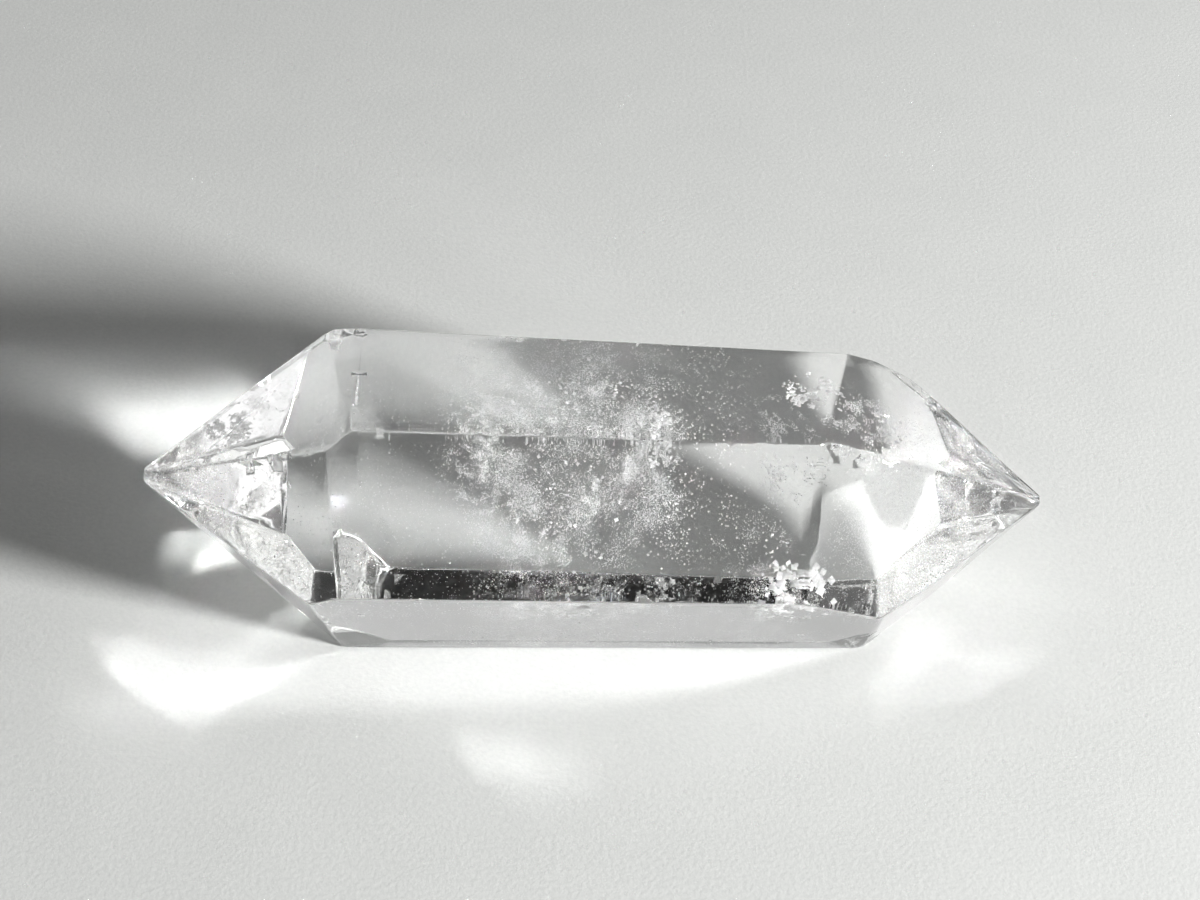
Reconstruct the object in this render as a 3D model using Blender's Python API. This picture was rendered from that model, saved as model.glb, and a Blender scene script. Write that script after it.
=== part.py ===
"""A clear quartz crystal, pointed at both ends, lying on one of its six sides.

The crystal is one solid. It is cut as a stone is cut: a rough block loses one slab for each flat
face, then the edges are rounded by the polishing, and a few small chips are knocked out of them.
The long axis runs along X, +Z is up, and the front of the crystal faces -Y. The cutting is done
in millimetres, and the finished mesh is turned to metres.
"""

from math import cos, radians, sin

import bmesh
import bpy
from mathutils import Matrix, Vector

MM = 0.001

# Tip to tip
LENGTH = 50.0

# How wide the rough block is, each way from the middle
BLOCK_HALF = 40.0

# The radius that polishing leaves on an edge, and the flats that stand for its roundness
EDGE_RADIUS = 0.16
EDGE_FLATS = 2

# Edges between faces that turn less than this are left sharp
LEAST_TURN = radians(4)

# A cut keeps to its plane this closely, and points closer together than WELD become one
CUT_TOLERANCE = 0.00005
WELD = 0.005

# Faces that turn less than this where they meet are one flat face
FLAT_TURN = radians(0.1)

# A face is (azimuth, lean, distance). The azimuth turns about the long axis: 0 faces the front, 90
# up, 180 the back. The lean tips the face towards an end: on a side it is the crystal's slight
# taper, and on a point it is the slope of the point. The distance is from the crystal's middle to
# the face. The sides stand close to 60 degrees apart, as they do on all quartz.
SIDES = {
    "top": (90.3, 2.8, 8.55),
    "front_upper": (30.4, 2.4, 8.30),
    "front_lower": (-29.8, 0.4, 7.50),
    "bottom": (-90.0, 0.0, 8.30),
    "back_lower": (208.1, 1.8, 7.75),
    "back_upper": (148.7, 1.9, 7.34),
}

LEFT_POINT = {
    "left_top": (83.4, 32.9, 15.10),
    "left_front_upper": (27.7, 34.7, 15.15),
    "left_front_lower": (-34.0, 37.4, 14.95),
    "left_bottom": (-101.2, 37.1, 14.39),
    "left_back_lower": (207.1, 36.4, 14.68),
    "left_back_upper": (156.0, 30.1, 13.23),
    # The narrow three-sided face between the top and the point
    "left_shoulder": (90.0, 10.2, 11.35),
}

RIGHT_POINT = {
    "right_top": (83.5, 33.0, 13.80),
    "right_front_upper": (28.3, 29.4, 12.45),
    "right_front_lower": (-31.3, 37.1, 15.30),
    "right_bottom": (-95.5, 35.5, 15.06),
    "right_back_lower": (200.0, 41.3, 16.74),
    "right_back_upper": (158.8, 35.2, 14.57),
    # The corner behind the top of the right point is worn off
    "right_shoulder": (131.0, 27.4, 13.93),
}

# Chips: (face, neighbouring face, place along X, radius of the ball, depth). Each is a shallow
# scoop out of the edge between the two faces.
CHIPS = [
    ("top", "front_upper", 2.7, 0.45, 0.10),
    ("top", "front_upper", 3.5, 0.35, 0.07),
    ("top", "front_upper", -6.0, 0.35, 0.06),
    ("right_top", "right_front_upper", 12.9, 0.45, 0.09),
    ("right_top", "right_front_upper", 14.2, 0.40, 0.08),
    ("front_upper", "front_lower", -0.4, 0.40, 0.07),
    ("front_upper", "front_lower", 9.0, 0.35, 0.07),
    ("left_top", "left_front_upper", -18.6, 0.45, 0.09),
    ("left_top", "left_front_upper", -17.3, 0.35, 0.07),
    ("left_front_lower", "left_front_upper", -22.6, 0.35, 0.07),
    ("top", "back_upper", 6.5, 0.45, 0.08),
    ("back_upper", "back_lower", -5.0, 0.50, 0.10),
    ("right_back_upper", "right_back_lower", 20.0, 0.40, 0.08),
]


def outward(azimuth, lean, end):
    """The direction that a face looks in. end is -1 for the left point and 1 for the rest."""
    turn = radians(azimuth)
    tip = radians(lean)
    return Vector((end * sin(tip), -cos(tip) * cos(turn), cos(tip) * sin(turn)))


def all_faces():
    """Every flat face as name: (outward direction, distance from the middle)."""
    planes = {}
    for group, end in ((SIDES, 1), (LEFT_POINT, -1), (RIGHT_POINT, 1)):
        for name, (azimuth, lean, distance) in group.items():
            planes[name] = (outward(azimuth, lean, end), distance)
    # Both tips are blunt
    planes["left_tip"] = (Vector((-1, 0, 0)), LENGTH / 2)
    planes["right_tip"] = (Vector((1, 0, 0)), LENGTH / 2)
    return planes


def rough_block():
    block = bmesh.new()
    bmesh.ops.create_cube(block, size=2 * BLOCK_HALF)
    return block


def cut_flat(solid, direction, distance):
    """Takes away what lies past the plane and closes the cut with one flat face."""
    cut = bmesh.ops.bisect_plane(
        solid,
        geom=solid.verts[:] + solid.edges[:] + solid.faces[:],
        dist=CUT_TOLERANCE,
        plane_co=direction * distance,
        plane_no=direction,
        clear_outer=True,
    )
    rim = [e for e in cut["geom_cut"] if isinstance(e, bmesh.types.BMEdge)]
    if rim:
        bmesh.ops.contextual_create(solid, geom=rim)


def round_edges(solid):
    """Rolls a ball of EDGE_RADIUS along inside each edge and cuts flats that touch it."""
    flats = []
    for edge in solid.edges:
        first, second = (f.normal.copy() for f in edge.link_faces)
        if first.angle(second) < LEAST_TURN:
            continue
        corner = (edge.verts[0].co + edge.verts[1].co) / 2
        centre = corner - (first + second) * EDGE_RADIUS / (1 + first.dot(second))
        for step in range(1, EDGE_FLATS + 1):
            facing = first.slerp(second, step / (EDGE_FLATS + 1)).normalized()
            flats.append((facing, facing.dot(centre) + EDGE_RADIUS))
    for facing, distance in flats:
        cut_flat(solid, facing, distance)


def point_on_edge(planes, face, neighbour, x):
    """Where the edge between two faces crosses the plane at x, and the way out from there."""
    (first, reach_first), (second, reach_second) = planes[face], planes[neighbour]
    # In the plane at x, each face is a line in y and z
    c1 = reach_first - first.x * x
    c2 = reach_second - second.x * x
    spread = first.y * second.z - first.z * second.y
    y = (c1 * second.z - c2 * first.z) / spread
    z = (first.y * c2 - second.y * c1) / spread
    return Vector((x, y, z)), (first + second).normalized()


def add_object(name, solid, to_ground):
    """Makes an object of the solid, moved onto the ground and turned to metres."""
    solid.transform(Matrix.Scale(MM, 4) @ Matrix.Translation(to_ground))
    mesh = bpy.data.meshes.new(name)
    solid.to_mesh(mesh)
    solid.free()
    made = bpy.data.objects.new(name, mesh)
    bpy.context.scene.collection.objects.link(made)
    return made


def chip_balls(planes):
    """Every ball in one mesh, to be taken out of the crystal in one cut."""
    balls = bmesh.new()
    for face, neighbour, x, radius, depth in CHIPS:
        corner, out = point_on_edge(planes, face, neighbour, x)
        ball = bmesh.ops.create_icosphere(balls, subdivisions=3, radius=radius)
        bmesh.ops.translate(balls, verts=ball["verts"], vec=corner + out * (radius - depth))
    return balls


def clear_quartz():
    """Colourless see-through quartz with a polished surface."""
    quartz = bpy.data.materials.new("clear quartz")
    quartz.use_nodes = True
    shader = quartz.node_tree.nodes["Principled BSDF"]
    shader.inputs["Base Color"].default_value = (0.96, 0.97, 0.95, 1)
    shader.inputs["Roughness"].default_value = 0.03
    shader.inputs["Metallic"].default_value = 0.0
    shader.inputs["IOR"].default_value = 1.544
    shader.inputs["Transmission Weight"].default_value = 1.0
    return quartz


def make_crystal():
    planes = all_faces()
    solid = rough_block()
    for direction, distance in planes.values():
        cut_flat(solid, direction, distance)
    solid.normal_update()
    round_edges(solid)
    bmesh.ops.remove_doubles(solid, verts=solid.verts[:], dist=WELD)
    bmesh.ops.dissolve_limit(
        solid, angle_limit=FLAT_TURN, verts=solid.verts[:], edges=solid.edges[:]
    )
    bmesh.ops.recalc_face_normals(solid, faces=solid.faces[:])

    # It stands on the ground, with the middle of its box over the origin
    low = Vector(min(v.co[i] for v in solid.verts) for i in range(3))
    high = Vector(max(v.co[i] for v in solid.verts) for i in range(3))
    to_ground = Vector((-(low.x + high.x) / 2, -(low.y + high.y) / 2, -low.z))

    crystal = add_object("crystal", solid, to_ground)
    crystal.data.materials.append(clear_quartz())

    chips = add_object("chips", chip_balls(planes), to_ground)
    chips.hide_render = True
    chips.display_type = "WIRE"
    cut = crystal.modifiers.new("chips", "BOOLEAN")
    cut.operation = "DIFFERENCE"
    cut.object = chips
    return crystal


for old in list(bpy.data.objects):
    bpy.data.objects.remove(old)
make_crystal()
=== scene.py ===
"""A clear quartz crystal with a point at both ends, lying on white paper in low window light."""

from math import cos, pi, radians, sin, tan

import bmesh
import bpy
import numpy as np
from mathutils import Matrix, Vector


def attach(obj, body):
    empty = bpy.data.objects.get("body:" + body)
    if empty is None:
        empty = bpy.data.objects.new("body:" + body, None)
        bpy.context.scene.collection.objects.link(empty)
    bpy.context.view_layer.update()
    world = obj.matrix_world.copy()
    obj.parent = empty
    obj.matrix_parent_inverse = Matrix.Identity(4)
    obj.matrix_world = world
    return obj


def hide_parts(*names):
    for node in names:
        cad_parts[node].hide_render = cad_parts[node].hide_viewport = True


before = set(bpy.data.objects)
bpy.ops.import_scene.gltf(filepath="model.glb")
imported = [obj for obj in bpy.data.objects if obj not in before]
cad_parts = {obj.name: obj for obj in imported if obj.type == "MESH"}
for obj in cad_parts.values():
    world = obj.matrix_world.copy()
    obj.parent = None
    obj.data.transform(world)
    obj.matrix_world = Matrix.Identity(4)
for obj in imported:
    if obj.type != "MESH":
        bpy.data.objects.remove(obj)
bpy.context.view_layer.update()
scene = bpy.context.scene


# The crystal
# One piece of rock crystal, grown as a six-sided prism with a six-sided point at each end, then
# ground and polished by hand. The wheel left the faces faintly rippled, the points a little domed
# and every edge slightly round, and handling knocked small chips out of the edges.

# Lengths are in millimetres up to the moment a mesh is made
MM = 0.001

# The ball that would fit the roundness of an edge, and how softly one face runs into the next
EDGE_RADIUS = 0.17
EDGE_SOFTNESS = 0.033
FLATS_ON_AN_EDGE = 4
LEAST_TURN = radians(4)

# How the flat faces of the CAD crystal are told. Points this close together are one point, and
# triangles that turn less than SAME_FACE are one face. A face that looks within SAME_WAY of one
# that is already known isn't counted again, and neither is a strip of a rounded edge, whose area
# is less than LEAST_BREADTH millimetres times half its outline.
SAME_POINT = 0.002
SAME_FACE = radians(0.5)
SAME_WAY = radians(1)
LEAST_BREADTH = 0.12

# The faces are cut into small squares, so that they can ripple
SQUARE = 0.55
SQUARE_TURN = radians(4.0)

BLOCK_HALF = 40.0
CUT_TOLERANCE = 0.00005
WELD = 0.004

# The long axis of the crystal, as it lies
AXIS_Y = 0.182
AXIS_Z = 8.30
TIP = 25.0

# The points start here along the axis. The wheel left the left one almost flat, and the right one
# bulges halfway by this part of its thickness.
POINT_START = 14.5
LEFT_DOME = 0.006
RIGHT_DOME = 0.040

# Ripples of the polish: their length, the shortest and the longest as shares of it, how deep they
# are, and how many trains of them cross
RIPPLE_LENGTH = 3.2
RIPPLE_SPREAD = (0.75, 1.5)
RIPPLE_DEPTH = 0.004
RIPPLE_TRAINS = 16
RIPPLE_SEED = 5

# Chips: (place along X, azimuth about the long axis, radius of the scoop, depth). Azimuth 0 is
# the front, 90 up and 180 the back.
CHIPS = [
    (2.7, 60, 0.45, 0.10),
    (3.5, 60, 0.35, 0.07),
    (-6.0, 61, 0.35, 0.06),
    (12.9, 60, 0.45, 0.09),
    (14.2, 58, 0.40, 0.08),
    (-0.4, 0, 0.40, 0.07),
    (9.0, 0, 0.35, 0.07),
    (-18.6, 57, 0.45, 0.09),
    (-17.3, 57, 0.35, 0.07),
    (-22.6, 0, 0.35, 0.07),
    (6.5, 120, 0.45, 0.08),
    (-5.0, 180, 0.50, 0.10),
    (20.0, 180, 0.40, 0.08),
]

# The mesh is cut finer round a chip, out to CHIP_BREADTH times its radius
CHIP_SQUARE = 0.12
CHIP_BREADTH = 1.25
CHIP_ROUNDS = 2

# How far from the axis, and in how many steps, the edge that a chip sits on is looked for
FARTHEST_EDGE = 12
EDGE_STEPS = 2401

# Nicks: much smaller scoops, anywhere along the longer edges apart from their very ends. Their
# depth counts from the rounded edge, which lies EDGE_LOSS below the sharp one.
NICKS = 45
NICK_SEED = 29
NICK_RADIUS = (0.12, 0.28)
NICK_DEPTH = (0.025, 0.055)
NICKED_PART = (0.03, 0.97)
LEAST_NICKED_EDGE = 5.0
EDGE_LOSS = 0.03

# Rounds in which the points of the mesh close in on the finished surface
CLOSING_ROUNDS = 8


def flat_faces(node):
    """(outward direction, distance from the origin) of each flat face, largest first."""
    solid = bmesh.new()
    solid.from_mesh(node.data)
    solid.transform(Matrix.Scale(1 / MM, 4))
    bmesh.ops.remove_doubles(solid, verts=solid.verts[:], dist=SAME_POINT)
    bmesh.ops.dissolve_limit(
        solid, angle_limit=SAME_FACE, verts=solid.verts[:], edges=solid.edges[:]
    )
    found = []
    for face in sorted(solid.faces, key=lambda f: -f.calc_area()):
        outline = sum(e.calc_length() for e in face.edges)
        known = any(face.normal.angle(direction) < SAME_WAY for direction, reach in found)
        if face.calc_area() > LEAST_BREADTH * outline / 2 and not known:
            found.append((face.normal.copy(), max(face.normal.dot(v.co) for v in face.verts)))
    solid.free()
    return found


def cut_flat(solid, direction, distance):
    """Takes away what lies past the plane and closes the cut with one flat face."""
    cut = bmesh.ops.bisect_plane(
        solid,
        geom=solid.verts[:] + solid.edges[:] + solid.faces[:],
        dist=CUT_TOLERANCE,
        plane_co=direction * distance,
        plane_no=direction,
        clear_outer=True,
    )
    rim = [e for e in cut["geom_cut"] if isinstance(e, bmesh.types.BMEdge)]
    if rim:
        bmesh.ops.contextual_create(solid, geom=rim)


def round_edges(solid):
    """Rolls a ball along inside each edge and cuts flats that touch it."""
    flats = []
    for edge in solid.edges:
        first, second = (f.normal.copy() for f in edge.link_faces)
        if first.angle(second) < LEAST_TURN:
            continue
        corner = (edge.verts[0].co + edge.verts[1].co) / 2
        centre = corner - (first + second) * EDGE_RADIUS / (1 + first.dot(second))
        for step in range(1, FLATS_ON_AN_EDGE + 1):
            facing = first.slerp(second, step / (FLATS_ON_AN_EDGE + 1)).normalized()
            flats.append((facing, facing.dot(centre) + EDGE_RADIUS))
    for facing, distance in flats:
        cut_flat(solid, facing, distance)


def slice_through(solid, middle, direction):
    """Draws a line round the solid where the plane crosses it, and takes nothing away."""
    bmesh.ops.bisect_plane(
        solid,
        geom=solid.verts[:] + solid.edges[:] + solid.faces[:],
        dist=CUT_TOLERANCE,
        plane_co=middle,
        plane_no=direction,
    )


axis = np.array((0, AXIS_Y, AXIS_Z))
faces = flat_faces(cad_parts["crystal"])
directions = np.array([direction for direction, reach in faces])
reaches = np.array([reach for direction, reach in faces]) - directions @ axis


def ripple_trains():
    """Random plane waves of about one length: their ways and phases."""
    random = np.random.default_rng(RIPPLE_SEED)
    ways = random.normal(size=(RIPPLE_TRAINS, 3))
    ways /= np.linalg.norm(ways, axis=1)[:, None]
    numbers = 2 * pi / (RIPPLE_LENGTH * random.uniform(*RIPPLE_SPREAD, RIPPLE_TRAINS))
    return ways * numbers[:, None], random.uniform(0, 2 * pi, RIPPLE_TRAINS)


ripple_ways, ripple_phases = ripple_trains()


def ripple(points):
    """From 0 to 1, in smooth hills and hollows. A hill of twice the usual height reaches 1."""
    waves = np.sin(points @ ripple_ways.T + ripple_phases).sum(axis=1)
    usual_height = np.sqrt(RIPPLE_TRAINS / 2)
    return np.clip(0.5 + waves / (4 * usual_height), 0, 1)


def faces_outside(points):
    """How far points (from the middle of the crystal) lie outside the polished faces."""
    along = (np.abs(points[:, 0]) - POINT_START) / (TIP - POINT_START)
    dome = np.where(points[:, 0] < 0, LEFT_DOME, RIGHT_DOME)
    swell = 1 + dome * np.sin(pi * np.clip(along, 0, 1)) ** 2
    level = points / np.stack((np.ones(len(points)), swell, swell), axis=1)
    past = level @ directions.T - reaches
    furthest = past.max(axis=1)
    spread = np.exp((past - furthest[:, None]) / EDGE_SOFTNESS).sum(axis=1)
    return furthest + EDGE_SOFTNESS * np.log(spread)


def chip_balls():
    """The middle and radius of the ball that scoops each chip out."""
    balls = []
    for x, azimuth, radius, depth in CHIPS:
        out = np.array((0, -cos(radians(azimuth)), sin(radians(azimuth))))
        steps = np.linspace(0, FARTHEST_EDGE, EDGE_STEPS)[:, None]
        ray = np.array((x, 0, 0)) + steps * out
        rim = ray[faces_outside(ray) < 0][-1]
        balls.append((rim + out * (radius - depth), radius))
    return balls


def nick_balls(solid):
    """Small balls spread along the edges of the sharp solid."""
    edges = [
        (e.verts[0].co - Vector(axis), e.verts[1].co - Vector(axis), e.link_faces)
        for e in solid.edges
        if e.calc_length() > LEAST_NICKED_EDGE
    ]
    lengths = np.array([(start - end).length for start, end, sides in edges])
    random = np.random.default_rng(NICK_SEED)
    balls = []
    for number in random.choice(len(edges), NICKS, p=lengths / lengths.sum()):
        start, end, sides = edges[number]
        out = (sides[0].normal + sides[1].normal).normalized()
        radius = random.uniform(*NICK_RADIUS)
        rim = start.lerp(end, random.uniform(*NICKED_PART)) - out * EDGE_LOSS
        balls.append((np.array(rim + out * (radius - random.uniform(*NICK_DEPTH))), radius))
    return balls


solid = bmesh.new()
bmesh.ops.create_cube(solid, size=2 * BLOCK_HALF)
for direction, reach in faces:
    cut_flat(solid, direction, reach)
solid.normal_update()
chips = chip_balls() + nick_balls(solid)


def outside(points):
    """How far points lie outside the finished surface, in mm. Inside it is negative."""
    points = points - axis
    past = faces_outside(points) + RIPPLE_DEPTH * ripple(points)
    for middle, radius in chips:
        past = np.maximum(past, radius - np.linalg.norm(points - middle, axis=1))
    return past


def way_out(points, reach=0.01):
    """The direction in which each point leaves the crystal soonest."""
    slope = np.zeros_like(points)
    for i in range(3):
        step = np.zeros(3)
        step[i] = reach
        slope[:, i] = (outside(points + step) - outside(points - step)) / (2 * reach)
    return slope


round_edges(solid)
bmesh.ops.remove_doubles(solid, verts=solid.verts[:], dist=WELD)
for i in range(int(-TIP / SQUARE), int(TIP / SQUARE) + 1):
    slice_through(solid, Vector((i * SQUARE, 0, 0)), Vector((1, 0, 0)))
for i in range(int(pi / SQUARE_TURN)):
    turn = Vector((0, sin(i * SQUARE_TURN), cos(i * SQUARE_TURN)))
    slice_through(solid, Vector(axis), turn)
for middle, radius in chips:
    place = Vector(axis + middle)
    reach = CHIP_BREADTH * radius
    for rounds in range(CHIP_ROUNDS):
        near = [
            e
            for e in solid.edges
            if (place - (e.verts[0].co + e.verts[1].co) / 2).length < reach
            and e.calc_length() > CHIP_SQUARE
        ]
        bmesh.ops.subdivide_edges(solid, edges=near, cuts=1, use_grid_fill=True)
bmesh.ops.remove_doubles(solid, verts=solid.verts[:], dist=WELD)
bmesh.ops.triangulate(solid, faces=solid.faces[:])
bmesh.ops.recalc_face_normals(solid, faces=solid.faces[:])

corners = np.array([v.co for v in solid.verts], dtype=float)
for rounds in range(CLOSING_ROUNDS):
    slope = way_out(corners)
    corners -= outside(corners)[:, None] * slope / (slope**2).sum(axis=1)[:, None]
for vertex, corner in zip(solid.verts, corners):
    vertex.co = Vector(corner) * MM
mesh = bpy.data.meshes.new("quartz_crystal")
solid.to_mesh(mesh)
solid.free()
mesh.shade_smooth()
facing = way_out(corners)
facing /= np.linalg.norm(facing, axis=1)[:, None]
mesh.normals_split_custom_set_from_vertices(facing)
crystal = bpy.data.objects.new("quartz_crystal", mesh)
scene.collection.objects.link(crystal)


def linear(hex_colour):
    """The linear RGBA of an sRGB hex value."""
    channels = [int(hex_colour[i : i + 2], 16) / 255 for i in (1, 3, 5)]
    return [c / 12.92 if c <= 0.04045 else ((c + 0.055) / 1.055) ** 2.4 for c in channels] + [1]


def add_node(tree, kind, links=None, **settings):
    """Adds a node. links maps an input to the socket or value that feeds it."""
    node = tree.nodes.new(kind)
    for name, value in settings.items():
        setattr(node, name, value)
    for name, value in (links or {}).items():
        if isinstance(value, bpy.types.NodeSocket):
            tree.links.new(value, node.inputs[name])
        else:
            node.inputs[name].default_value = value
    return node


def material(name):
    made = bpy.data.materials.new(name)
    made.use_nodes = True
    made.node_tree.nodes.clear()
    return made, made.node_tree


# Colourless and smooth, so that it bends the paper, the shadow and the room behind it into bands.
# The felt wheel left a very fine orange peel, and handling dulled the polish in small patches,
# from where the noise passes DULL_FROM to the dullest places past DULLEST_FROM.
PEEL_LENGTH = 0.35
PEEL_DEPTH = 0.0006
DULL_PATCH = 1.6
DULL_FROM = 0.45
DULLEST_FROM = 0.80
DULLEST = 0.08

quartz, tree = material("polished clear quartz")
place = add_node(tree, "ShaderNodeTexCoord").outputs["Object"]
peel = add_node(
    tree, "ShaderNodeTexNoise", {"Vector": place, "Scale": 1 / (PEEL_LENGTH * MM), "Detail": 1.0}
)
peel = add_node(
    tree,
    "ShaderNodeBump",
    {"Height": peel.outputs[0], "Distance": PEEL_DEPTH * MM, "Strength": 1.0},
)
wear = add_node(
    tree, "ShaderNodeTexNoise", {"Vector": place, "Scale": 1 / (DULL_PATCH * MM), "Detail": 5.0}
)
dulled = add_node(
    tree,
    "ShaderNodeMapRange",
    {
        "Value": wear.outputs[0],
        "From Min": DULL_FROM,
        "From Max": DULLEST_FROM,
        "To Max": DULLEST,
    },
    interpolation_type="SMOOTHSTEP",
)
shader = add_node(
    tree,
    "ShaderNodeBsdfPrincipled",
    {
        "Base Color": linear("#FFFFFF"),
        "Roughness": dulled.outputs[0],
        "IOR": 1.544,
        "Transmission Weight": 1.0,
        "Normal": peel.outputs[0],
    },
)
add_node(tree, "ShaderNodeOutputMaterial", {"Surface": shader.outputs[0]})
mesh.materials.append(quartz)
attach(crystal, "root")
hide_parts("crystal")

# The veils
# Where the crystal cracked while it grew and healed again, it kept bent sheets of tiny pockets of
# gas and water, dense in some patches and thin in others: a cloud with bright wisps in the middle,
# haze and thin veils in the points and low down, and single larger flakes that glint.

# A sheet is a grid of this many lines each way, and its pockets are small closed flakes on it
SHEET_LINES = 40

# A flake has four corners round its rim and one on each side. Its thickness is a share of its
# width, it is tipped out of the sheet by up to FLAKE_TIP radians each way, and it lies at least
# LEAST_DEPTH under the surface of the crystal.
FLAKE_SIDES = 4
FLAKE_CORNERS = FLAKE_SIDES + 2
FLAKE_THICKNESS = 0.3
FLAKE_TIP = 0.6
LEAST_DEPTH = 0.12

# Most flakes are small: their width follows a random share from 0 to 1, to this power
SMALL_FLAKES = 3.0

# The bend of a sheet: how often it turns in a millimetre, and what brings its noise, which stays
# near a half, to the full bend
BEND_TURNS = 0.12
BEND_GAIN = 4.0

# How sharply a patch starts, and the share of the sheet's radius where it starts to thin out
PATCH_SHARPNESS = 9.0
THINS_FROM = 0.35

# (place in mm, azimuth and tilt of the way the sheet faces, radius, bend, flakes per square mm,
# least and greatest width of a flake, width of a patch, how much of the sheet is bare)
LOWER_CLOUD = [
    ((-3.6, 0.4, 6.9), 250, 40, 4.6, 1.2, 660, (0.02, 0.09), 1.6, 0.48),
    ((0.5, 0.8, 8.4), 250, 55, 5.5, 1.6, 580, (0.02, 0.09), 1.4, 0.49),
    ((2.6, 0.5, 9.0), 255, 60, 2.8, 1.0, 860, (0.02, 0.09), 0.9, 0.46),
    ((9.0, -3.0, 6.4), 260, 55, 4.0, 1.0, 480, (0.02, 0.09), 1.2, 0.50),
]
UPPER_CLOUD = [
    ((-5.0, 1.5, 10.6), 245, 50, 4.4, 1.2, 600, (0.02, 0.09), 1.2, 0.50),
    ((-4.0, 1.5, 12.4), 260, 30, 5.6, 1.0, 600, (0.02, 0.08), 1.6, 0.46),
    ((1.4, 3.4, 11.8), 260, 40, 4.2, 1.0, 660, (0.02, 0.09), 1.2, 0.49),
]
WISPS = [
    ((0.0, -0.8, 9.8), 305, 55, 1.8, 0.6, 950, (0.02, 0.11), 0.7, 0.49),
    ((1.8, -0.8, 12.0), 305, 55, 1.3, 0.5, 950, (0.02, 0.11), 0.6, 0.48),
    ((-3.8, -0.8, 7.2), 300, 50, 3.4, 0.8, 840, (0.02, 0.11), 0.9, 0.50),
    ((-6.4, -0.6, 9.8), 300, 50, 1.8, 0.6, 730, (0.02, 0.11), 0.8, 0.50),
    ((0.2, 1.5, 12.3), 300, 45, 1.6, 0.5, 950, (0.02, 0.10), 0.7, 0.48),
    ((-6.6, -0.5, 12.3), 300, 45, 2.0, 0.5, 840, (0.02, 0.10), 0.8, 0.48),
    ((3.8, -0.2, 12.3), 300, 45, 1.3, 0.5, 950, (0.02, 0.11), 0.6, 0.48),
]
RIGHT_POINT_HAZE = [
    ((16.6, -2.0, 8.5), 270, 55, 5.6, 0.8, 280, (0.03, 0.08), 2.4, 0.38),
    ((18.5, 1.0, 8.6), 250, 60, 5.2, 0.8, 220, (0.03, 0.08), 2.0, 0.38),
]
HAZE = [
    ((14.0, 0.5, 13.0), 290, 40, 2.6, 0.8, 440, (0.03, 0.14), 0.8, 0.49),
    ((10.3, 0.0, 11.5), 220, 65, 2.8, 0.8, 440, (0.03, 0.14), 0.8, 0.49),
    ((5.6, 3.0, 12.2), 265, 35, 4.4, 0.8, 80, (0.03, 0.15), 1.0, 0.48),
    ((6.6, 0.0, 6.6), 255, 50, 4.6, 1.0, 60, (0.03, 0.15), 1.2, 0.48),
    ((-3.0, -2.0, 1.8), 270, 15, 9.0, 0.6, 90, (0.04, 0.16), 1.6, 0.48),
    ((9.0, -2.0, 1.8), 270, 15, 6.0, 0.6, 90, (0.04, 0.16), 1.4, 0.48),
    ((-11.0, 0.0, 7.5), 270, 50, 6.0, 1.2, 30, (0.03, 0.12), 1.6, 0.40),
]
LEFT_POINT_VEILS = [
    ((-19.0, 2.2, 9.8), 130, 70, 4.2, 0.8, 120, (0.03, 0.10), 1.4, 0.44),
    ((-20.0, 0.5, 9.0), 215, 95, 3.6, 0.8, 110, (0.03, 0.10), 1.4, 0.44),
    ((-21.5, 0.0, 8.8), 270, 55, 2.8, 0.8, 110, (0.03, 0.10), 1.0, 0.44),
]
GLINTS = [
    ((11.6, 1.8, 13.3), 270, 45, 1.8, 0.5, 70, (0.15, 0.50), 0.7, 0.46),
    ((3.0, -1.0, 13.8), 270, 45, 1.5, 0.4, 70, (0.12, 0.40), 0.6, 0.45),
    ((10.5, -6.0, 7.3), 280, 60, 2.4, 0.6, 40, (0.2, 0.75), 0.9, 0.44),
    ((-0.8, -6.3, 6.9), 270, 60, 1.1, 0.3, 60, (0.12, 0.45), 0.6, 0.44),
    ((0.0, 0.8, 8.4), 270, 50, 6.5, 1.6, 8, (0.10, 0.32), 1.4, 0.46),
    ((-1.5, 2.2, 12.2), 270, 35, 4.5, 1.0, 9, (0.10, 0.30), 1.2, 0.46),
    ((15.5, 0.2, 12.5), 270, 40, 1.6, 0.4, 60, (0.12, 0.36), 0.6, 0.45),
]


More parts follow.
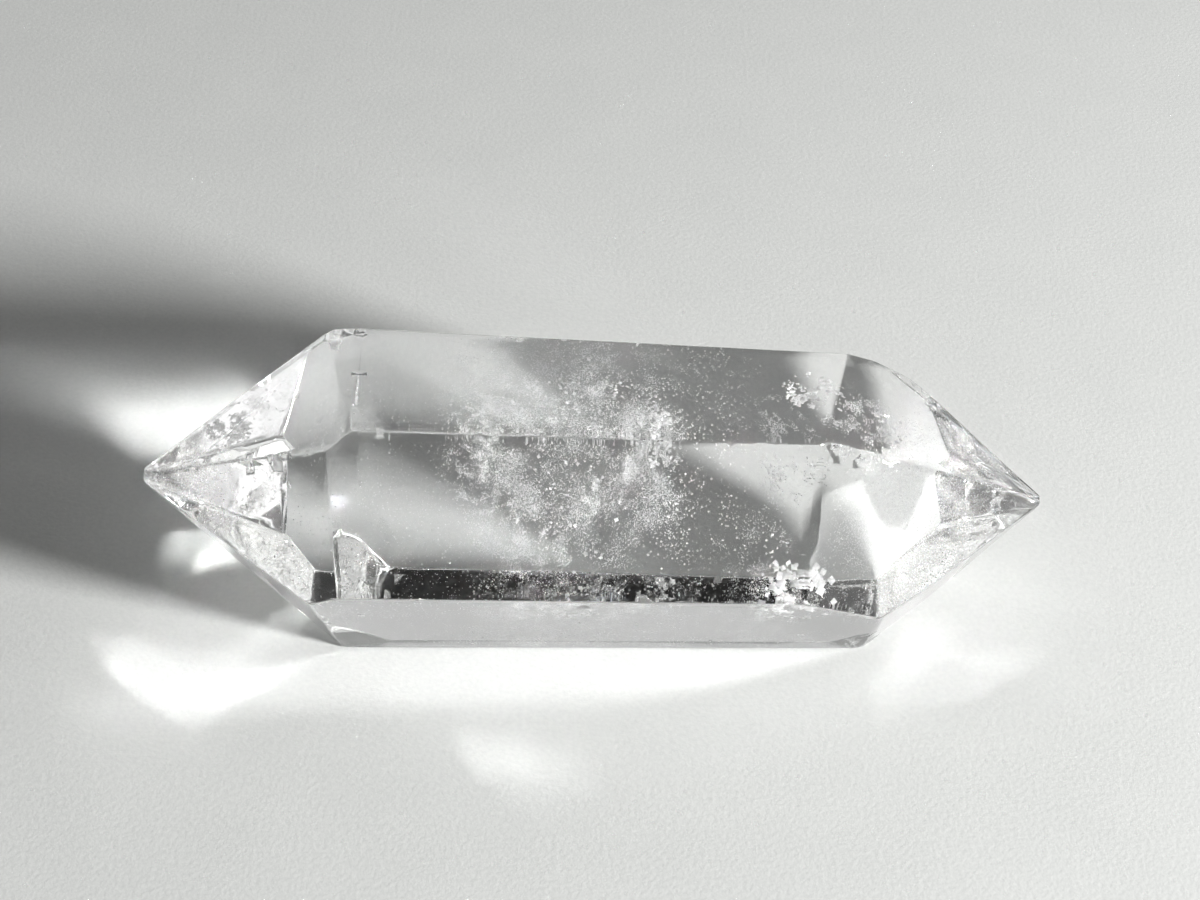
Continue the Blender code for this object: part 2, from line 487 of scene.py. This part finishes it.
def veil_tree():
    """Geometry nodes for one veil. Its sizes are named inputs, in millimetres."""
    tree = bpy.data.node_groups.new("veil of flakes", "GeometryNodeTree")
    panel = tree.interface
    for name in ("Radius", "Bend", "Flakes", "Least Width", "Greatest Width", "Patch", "Bare"):
        panel.new_socket(name, in_out="INPUT", socket_type="NodeSocketFloat")
    panel.new_socket("Seed", in_out="INPUT", socket_type="NodeSocketInt")
    panel.new_socket("Material", in_out="INPUT", socket_type="NodeSocketMaterial")
    panel.new_socket("Geometry", in_out="OUTPUT", socket_type="NodeSocketGeometry")
    given = add_node(tree, "NodeGroupInput").outputs
    place = add_node(tree, "GeometryNodeInputPosition").outputs[0]

    # The sheet, bent by a slow noise
    width = add_node(
        tree, "ShaderNodeMath", {0: given["Radius"], 1: 2.0}, operation="MULTIPLY"
    ).outputs[0]
    sheet = add_node(
        tree,
        "GeometryNodeMeshGrid",
        {"Size X": width, "Size Y": width, "Vertices X": SHEET_LINES, "Vertices Y": SHEET_LINES},
    )
    slow = add_node(
        tree,
        "ShaderNodeTexNoise",
        {"Vector": place, "W": given["Seed"], "Scale": BEND_TURNS, "Detail": 2.0},
        noise_dimensions="4D",
    )
    lift = add_node(tree, "ShaderNodeMath", {0: slow.outputs[0], 1: 0.5}, operation="SUBTRACT")
    lift = add_node(
        tree, "ShaderNodeMath", {0: lift.outputs[0], 1: given["Bend"]}, operation="MULTIPLY"
    )
    lift = add_node(
        tree, "ShaderNodeMath", {0: lift.outputs[0], 1: BEND_GAIN}, operation="MULTIPLY"
    )
    offset = add_node(tree, "ShaderNodeCombineXYZ", {"Z": lift.outputs[0]})
    bent = add_node(
        tree,
        "GeometryNodeSetPosition",
        {"Geometry": sheet.outputs["Mesh"], "Offset": offset.outputs[0]},
    )

    # Patches, thinning out to nothing at the rim
    fineness = add_node(
        tree, "ShaderNodeMath", {0: 1.0, 1: given["Patch"]}, operation="DIVIDE"
    ).outputs[0]
    patches = add_node(
        tree,
        "ShaderNodeTexNoise",
        {"Vector": place, "W": given["Seed"], "Scale": fineness, "Detail": 5.0, "Roughness": 0.65},
        noise_dimensions="4D",
    )
    thick = add_node(
        tree, "ShaderNodeMath", {0: patches.outputs[0], 1: given["Bare"]}, operation="SUBTRACT"
    )
    thick = add_node(
        tree,
        "ShaderNodeMath",
        {0: thick.outputs[0], 1: PATCH_SHARPNESS},
        operation="MULTIPLY",
        use_clamp=True,
    )
    away = add_node(tree, "ShaderNodeVectorMath", {0: place}, operation="LENGTH")
    share = add_node(
        tree, "ShaderNodeMath", {0: away.outputs["Value"], 1: given["Radius"]}, operation="DIVIDE"
    )
    inner = add_node(
        tree,
        "ShaderNodeMapRange",
        {"Value": share.outputs[0], "From Min": 1.0, "From Max": THINS_FROM},
        interpolation_type="SMOOTHSTEP",
    )
    thick = add_node(
        tree, "ShaderNodeMath", {0: thick.outputs[0], 1: inner.outputs[0]}, operation="MULTIPLY"
    )
    thick = add_node(
        tree, "ShaderNodeMath", {0: thick.outputs[0], 1: given["Flakes"]}, operation="MULTIPLY"
    )
    points = add_node(
        tree,
        "GeometryNodeDistributePointsOnFaces",
        {"Mesh": bent.outputs[0], "Density": thick.outputs[0], "Seed": given["Seed"]},
    )

    # A flat flake on each point, tipped a little out of the sheet
    flake = add_node(
        tree,
        "GeometryNodeMeshUVSphere",
        {"Segments": FLAKE_SIDES, "Rings": 2, "Radius": 0.5},
    )
    tip = add_node(
        tree,
        "FunctionNodeRandomValue",
        {0: (-FLAKE_TIP, -FLAKE_TIP, -pi), 1: (FLAKE_TIP, FLAKE_TIP, pi), "Seed": given["Seed"]},
        data_type="FLOAT_VECTOR",
    )
    tip = add_node(tree, "FunctionNodeEulerToRotation", {0: tip.outputs[0]})
    turned = add_node(
        tree,
        "FunctionNodeRotateRotation",
        {0: points.outputs["Rotation"], 1: tip.outputs[0]},
        rotation_space="LOCAL",
    )
    chance = add_node(tree, "FunctionNodeRandomValue", {"Seed": given["Seed"]}, data_type="FLOAT")
    chance = add_node(
        tree, "ShaderNodeMath", {0: chance.outputs[1], 1: SMALL_FLAKES}, operation="POWER"
    )
    across = add_node(
        tree,
        "ShaderNodeMapRange",
        {
            "Value": chance.outputs[0],
            "To Min": given["Least Width"],
            "To Max": given["Greatest Width"],
        },
    )
    flat = add_node(
        tree, "ShaderNodeMath", {0: across.outputs[0], 1: FLAKE_THICKNESS}, operation="MULTIPLY"
    )
    size = add_node(
        tree,
        "ShaderNodeCombineXYZ",
        {"X": across.outputs[0], "Y": across.outputs[0], "Z": flat.outputs[0]},
    )
    flakes = add_node(
        tree,
        "GeometryNodeInstanceOnPoints",
        {
            "Points": points.outputs["Points"],
            "Instance": flake.outputs["Mesh"],
            "Rotation": turned.outputs[0],
            "Scale": size.outputs[0],
        },
    )
    real = add_node(tree, "GeometryNodeRealizeInstances", {0: flakes.outputs[0]})
    finished = add_node(
        tree,
        "GeometryNodeSetMaterial",
        {"Geometry": real.outputs[0], "Material": given["Material"]},
    )
    add_node(tree, "NodeGroupOutput", {"Geometry": finished.outputs[0]})
    return tree


# White and a little see-through, so that many small pockets together look like mist. The real
# ones are thousandths of a millimetre wide, and are drawn as coarse as they need to be to show.
gas, tree = material("gas pockets in healed cracks")
shader = add_node(
    tree,
    "ShaderNodeBsdfPrincipled",
    {
        "Base Color": linear("#FFFFFF"),
        "Roughness": 0.6,
        "IOR": 1.45,
        "Transmission Weight": 0.2,
    },
)
add_node(tree, "ShaderNodeOutputMaterial", {"Surface": shader.outputs[0]})


def inner_part(flakes):
    """Drops every flake that comes too near the surface."""
    corners = np.empty(len(flakes.vertices) * 3)
    flakes.vertices.foreach_get("co", corners)
    corners = corners.reshape(-1, 3)
    deep = (outside(corners) < -LEAST_DEPTH).reshape(-1, FLAKE_CORNERS).all(axis=1)
    gone = np.flatnonzero(~np.repeat(deep, FLAKE_CORNERS))
    thinned = bmesh.new()
    thinned.from_mesh(flakes)
    thinned.verts.ensure_lookup_table()
    bmesh.ops.delete(thinned, geom=[thinned.verts[i] for i in gone], context="VERTS")
    return thinned


def make_veils(sheets, name, first_seed):
    """One piece made of several sheets of flakes."""
    tree = veil_tree()
    together = bmesh.new()
    for number, sheet in enumerate(sheets):
        place, azimuth, tilt, radius, bend, flakes, widths, patch, bare = sheet
        blank = bpy.data.objects.new(name, bpy.data.meshes.new(name))
        scene.collection.objects.link(blank)
        maker = blank.modifiers.new(name, "NODES")
        maker.node_group = tree
        sizes = {
            "Radius": radius,
            "Bend": bend,
            "Flakes": float(flakes),
            "Least Width": widths[0],
            "Greatest Width": widths[1],
            "Patch": patch,
            "Bare": bare,
            "Seed": first_seed + number,
            "Material": gas,
        }
        for item in tree.interface.items_tree:
            if item.in_out == "INPUT":
                maker[item.identifier] = sizes[item.name]
        made = bpy.data.meshes.new_from_object(
            blank.evaluated_get(bpy.context.evaluated_depsgraph_get())
        )
        turn = Matrix.Rotation(radians(azimuth), 4, "Z") @ Matrix.Rotation(radians(tilt), 4, "Y")
        made.transform(Matrix.Translation(place) @ turn)
        thinned = inner_part(made)
        kept = bpy.data.meshes.new(name)
        thinned.to_mesh(kept)
        thinned.free()
        together.from_mesh(kept)
        bpy.data.objects.remove(blank)
    together.transform(Matrix.Scale(MM, 4))
    mesh = bpy.data.meshes.new(name)
    together.to_mesh(mesh)
    together.free()
    mesh.materials.append(gas)
    veils = bpy.data.objects.new(name, mesh)
    scene.collection.objects.link(veils)
    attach(veils, "root")


make_veils(LOWER_CLOUD, "lower_cloud", first_seed=11)
make_veils(UPPER_CLOUD, "upper_cloud", first_seed=14)
make_veils(WISPS, "wisps", first_seed=91)
make_veils(RIGHT_POINT_HAZE, "right_point_haze", first_seed=31)
make_veils(HAZE, "haze", first_seed=33)
make_veils(LEFT_POINT_VEILS, "left_point_veils", first_seed=51)
make_veils(GLINTS, "glints", first_seed=71)

# The paper
# The crystal lies on a big sheet of matt white drawing paper, pressed between felts, which gives
# it a fine soft grain. It is the stage, not a part of the object.
PAPER_ACROSS = 1600

# Two hard things never quite touch, so there is a thin gap between the paper and the crystal
PAPER_UNDER = 0.03

# The width of the grain and its depth, the width of the clouds in the pulp, and how much of the
# paper's mottling follows the grain rather than the clouds
PAPER_GRAIN = 0.28
PAPER_RELIEF = 0.014
PAPER_CLOUDING = 6.0
PAPER_MOTTLING = 0.7

half = PAPER_ACROSS / 2
sheet = bpy.data.meshes.new("paper")
sheet.from_pydata(
    [
        (x * half * MM, y * half * MM, -PAPER_UNDER * MM)
        for x, y in ((-1, -1), (1, -1), (1, 1), (-1, 1))
    ],
    [],
    [(0, 1, 2, 3)],
)
paper = bpy.data.objects.new("paper", sheet)
scene.collection.objects.link(paper)

# Matt, with a grain too shallow to cast shadows but deep enough to break up the low light, and
# the faint cloudiness of pressed pulp
pulp, tree = material("felt-pressed drawing paper")
place = add_node(tree, "ShaderNodeTexCoord").outputs["Object"]
grain = add_node(
    tree,
    "ShaderNodeTexNoise",
    {"Vector": place, "Scale": 1 / (PAPER_GRAIN * MM), "Detail": 2.0, "Roughness": 0.55},
)
clouding = add_node(
    tree,
    "ShaderNodeTexNoise",
    {"Vector": place, "Scale": 1 / (PAPER_CLOUDING * MM), "Detail": 3.0},
)
mottling = add_node(
    tree, "ShaderNodeMix", {0: PAPER_MOTTLING, 2: clouding.outputs[0], 3: grain.outputs[0]}
)
tone = add_node(
    tree,
    "ShaderNodeMix",
    {0: mottling.outputs[0], 6: linear("#DADCDA"), 7: linear("#F2F3F0")},
    data_type="RGBA",
)
relief = add_node(
    tree,
    "ShaderNodeBump",
    {"Height": grain.outputs[0], "Distance": PAPER_RELIEF * MM, "Strength": 1.0},
)
shader = add_node(
    tree,
    "ShaderNodeBsdfPrincipled",
    {"Base Color": tone.outputs[2], "Roughness": 0.9, "Normal": relief.outputs[0]},
)
add_node(tree, "ShaderNodeOutputMaterial", {"Surface": shader.outputs[0]})
sheet.materials.append(pulp)

# The light
# A small bright window, low at the front right, sends the long shadow and the bright patches to
# the left. The rest of the room is dim. Only its far side, low behind the crystal, and a few
# other parts are pale, and the clear faces show them.
KEY_AZIMUTH = radians(30.5)
KEY_ELEVATION = radians(18.6)
KEY_AWAY = 450
KEY_ACROSS = radians(8.5)
KEY_POWER = 4.25
ROOM_LIGHT = 0.056

# The far side starts and is at its full strength where a look into the room goes this far back,
# and it fades out and ends where the look rises this much, both as shares of the look's length
FAR_SIDE_LIGHT = 0.40
FAR_SIDE_STARTS = 0.35
FAR_SIDE_FULL = 0.75
FAR_SIDE_FADES = 0.22
FAR_SIDE_ENDS = 0.50

# The pale parts of the room: (azimuth from +X towards the front, elevation, radius, strength).
# One lies beside the window, two are the wall that the window shines on and one is behind the
# crystal. The front of the room is darker than the rest, so it takes light away.
PALE_PARTS = [
    (-8, 22, 26, 1.2),
    (-143, 8, 30, 1.3),
    (-122, 37, 20, 0.8),
    (-90, 40, 26, 0.4),
    (98, 22, 45, -0.045),
]


def toward(azimuth, elevation):
    """A direction in the room. Azimuth 0 is +X, and 90 is the front."""
    return Vector(
        (cos(elevation) * cos(azimuth), -cos(elevation) * sin(azimuth), sin(elevation))
    )


toward_key = toward(KEY_AZIMUTH, KEY_ELEVATION)
lamp = bpy.data.lights.new("window", "AREA")
lamp.shape = "DISK"
lamp.size = 2 * KEY_AWAY * MM * tan(KEY_ACROSS / 2)
lamp.energy = KEY_POWER
key = bpy.data.objects.new("window", lamp)
key.location = toward_key * KEY_AWAY * MM
key.rotation_mode = "QUATERNION"
key.rotation_quaternion = toward_key.to_track_quat("Z", "Y")
scene.collection.objects.link(key)

room = bpy.data.worlds.new("room")
room.use_nodes = True
tree = room.node_tree
tree.nodes.clear()
looking = add_node(tree, "ShaderNodeTexCoord").outputs["Generated"]
way = add_node(tree, "ShaderNodeSeparateXYZ", {0: looking})
behind = add_node(
    tree,
    "ShaderNodeMapRange",
    {"Value": way.outputs["Y"], "From Min": FAR_SIDE_STARTS, "From Max": FAR_SIDE_FULL},
    interpolation_type="SMOOTHSTEP",
)
low = add_node(
    tree,
    "ShaderNodeMapRange",
    {"Value": way.outputs["Z"], "From Min": FAR_SIDE_ENDS, "From Max": FAR_SIDE_FADES},
    interpolation_type="SMOOTHSTEP",
)
far_side = add_node(
    tree, "ShaderNodeMath", {0: behind.outputs[0], 1: low.outputs[0]}, operation="MULTIPLY"
)
strength = add_node(
    tree,
    "ShaderNodeMath",
    {0: far_side.outputs[0], 1: FAR_SIDE_LIGHT, 2: ROOM_LIGHT},
    operation="MULTIPLY_ADD",
)
for azimuth, elevation, radius, brightness in PALE_PARTS:
    middle = toward(radians(azimuth), radians(elevation))
    nearness = add_node(
        tree, "ShaderNodeVectorMath", {0: looking, 1: middle}, operation="DOT_PRODUCT"
    )
    glow = add_node(
        tree,
        "ShaderNodeMapRange",
        {
            "Value": nearness.outputs["Value"],
            "From Min": cos(radians(radius)),
            "To Max": brightness,
        },
        interpolation_type="SMOOTHSTEP",
    )
    strength = add_node(
        tree, "ShaderNodeMath", {0: strength.outputs[0], 1: glow.outputs[0]}, operation="ADD"
    )
air = add_node(tree, "ShaderNodeBackground", {"Strength": strength.outputs[0]})
add_node(tree, "ShaderNodeOutputWorld", {"Surface": air.outputs[0]})
scene.world = room

# The camera
# It looks down on the crystal from the front, at the photograph's angle and distance.
ELEVATION = radians(42.65)
YAW = radians(-0.24)
ROLL = radians(0.64)
DISTANCE = 143.3
TARGET = Vector((0.32, 0.182, 11.80))
FIELD = radians(26)
NEAREST = 10

forward = Vector((-sin(YAW) * cos(ELEVATION), cos(YAW) * cos(ELEVATION), -sin(ELEVATION)))
right = Vector((cos(YAW), sin(YAW), 0))
up = right.cross(forward)
right, up = cos(ROLL) * right + sin(ROLL) * up, cos(ROLL) * up - sin(ROLL) * right
camera = bpy.data.objects.new("camera", bpy.data.cameras.new("camera"))
camera.data.angle = FIELD
camera.data.clip_start = NEAREST * MM
turn = Matrix((right, up, -forward)).transposed().to_4x4()
camera.matrix_world = Matrix.Translation((TARGET - forward * DISTANCE) * MM) @ turn
scene.collection.objects.link(camera)
scene.camera = camera

# The look of the picture
# Plain tones, enough bounces for light to cross the crystal many times, and paths that learn
# where the window shines through it.
scene.view_settings.view_transform = "Standard"
scene.cycles.use_denoising = True
scene.cycles.use_guiding = True
scene.cycles.use_surface_guiding = True
scene.cycles.max_bounces = 32
scene.cycles.transmission_bounces = 32
scene.cycles.glossy_bounces = 16
scene.cycles.diffuse_bounces = 4
scene.cycles.caustics_reflective = True
scene.cycles.caustics_refractive = True
scene.cycles.sample_clamp_indirect = 0
scene.cycles.blur_glossy = 0
